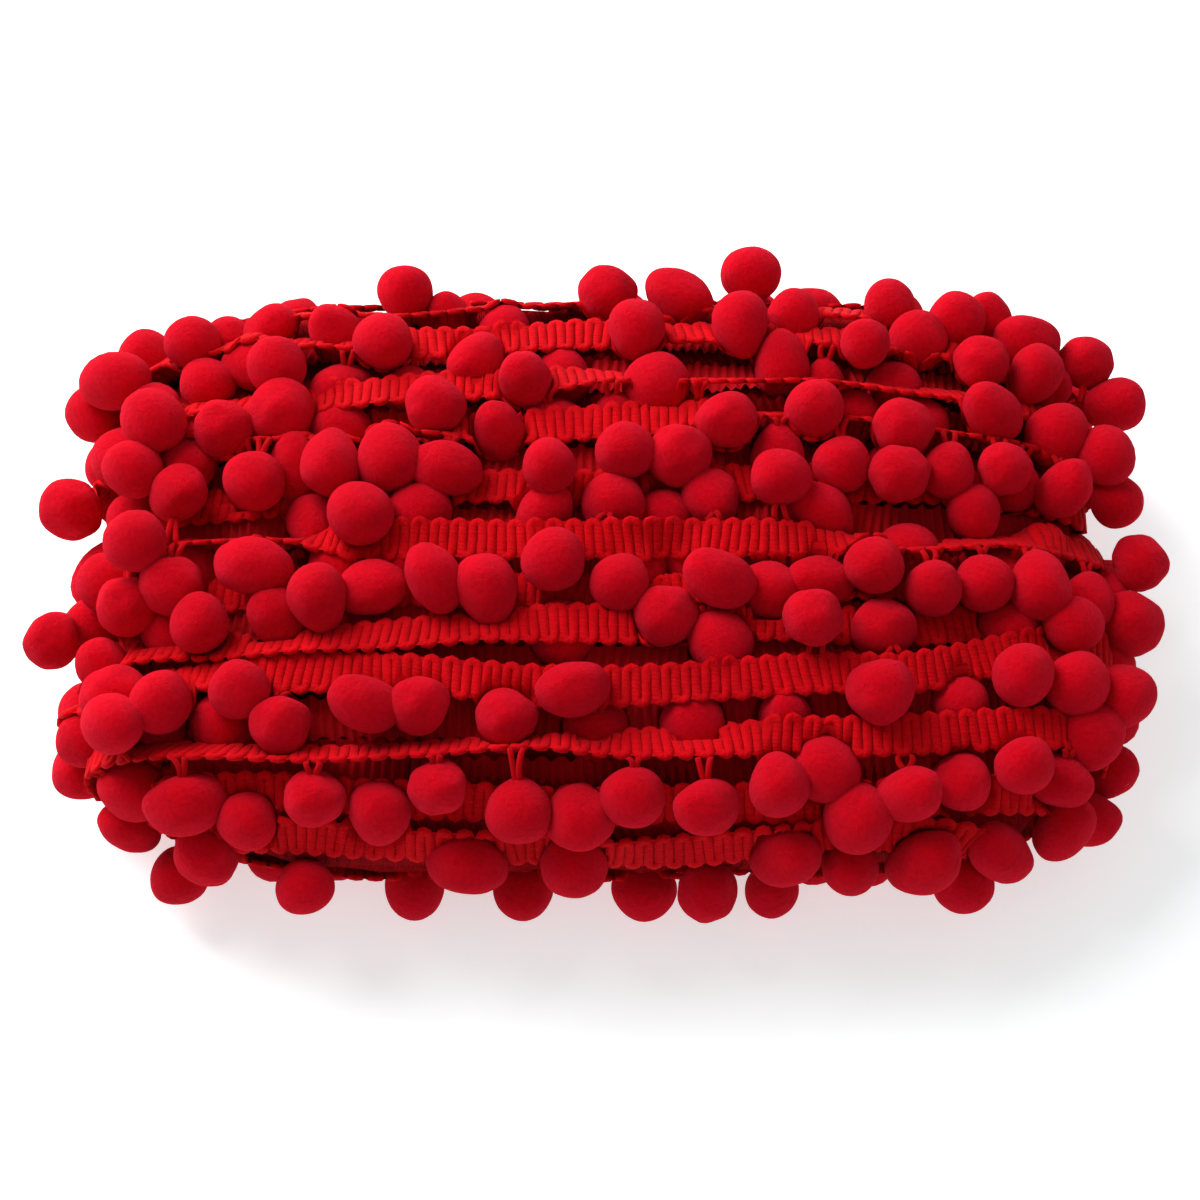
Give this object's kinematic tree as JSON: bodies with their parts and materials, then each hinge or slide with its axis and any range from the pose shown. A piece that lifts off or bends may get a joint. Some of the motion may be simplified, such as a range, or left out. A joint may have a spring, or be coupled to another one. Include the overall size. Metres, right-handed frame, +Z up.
{
  "type": "pompom fringe trim",
  "caption": "Hank of ribbed braid trim with small felted pompoms hanging on short thread loops, wound lengthwise into a flat lumpy bundle.",
  "frame": {"origin": "centre of the hank's footprint, on the ground that it lies on", "axes": "+X along the turns of the hank, +Y across them to the far side, +Z up"},
  "size_m": [0.1826, 0.1114, 0.0469],
  "materials": {
    "braid": "matt ribbed braid with looped edges",
    "pompom": "matt, dense, velvety cut yarn"
  },
  "bodies": {
    "root": {"wound_body": "braid", "pompom_01": "pompom", "pompom_02": "pompom", "pompom_03": "pompom", "pompom_04": "pompom", "pompom_05": "pompom", "pompom_06": "pompom", "pompom_07": "pompom", "pompom_08": "pompom", "pompom_09": "pompom", "pompom_10": "pompom", "pompom_11": "pompom", "pompom_12": "pompom", "pompom_13": "pompom", "pompom_14": "pompom", "pompom_15": "pompom", "pompom_16": "pompom", "pompom_17": "pompom", "pompom_18": "pompom", "pompom_19": "pompom", "pompom_20": "pompom", "pompom_21": "pompom", "pompom_22": "pompom", "pompom_23": "pompom", "pompom_24": "pompom", "pompom_25": "pompom", "pompom_26": "pompom", "pompom_27": "pompom", "pompom_28": "pompom", "pompom_29": "pompom", "pompom_30": "pompom", "pompom_31": "pompom", "pompom_32": "pompom", "pompom_33": "pompom", "pompom_34": "pompom", "pompom_35": "pompom", "pompom_36": "pompom", "pompom_37": "pompom", "pompom_38": "pompom", "pompom_39": "pompom", "pompom_40": "pompom", "pompom_41": "pompom", "pompom_42": "pompom", "pompom_43": "pompom", "pompom_44": "pompom", "pompom_45": "pompom", "pompom_46": "pompom", "pompom_47": "pompom", "pompom_48": "pompom", "pompom_49": "pompom", "pompom_50": "pompom", "pompom_51": "pompom", "pompom_52": "pompom", "pompom_53": "pompom", "pompom_54": "pompom", "pompom_55": "pompom", "pompom_56": "pompom", "pompom_57": "pompom"}
  },
  "joints": []
}
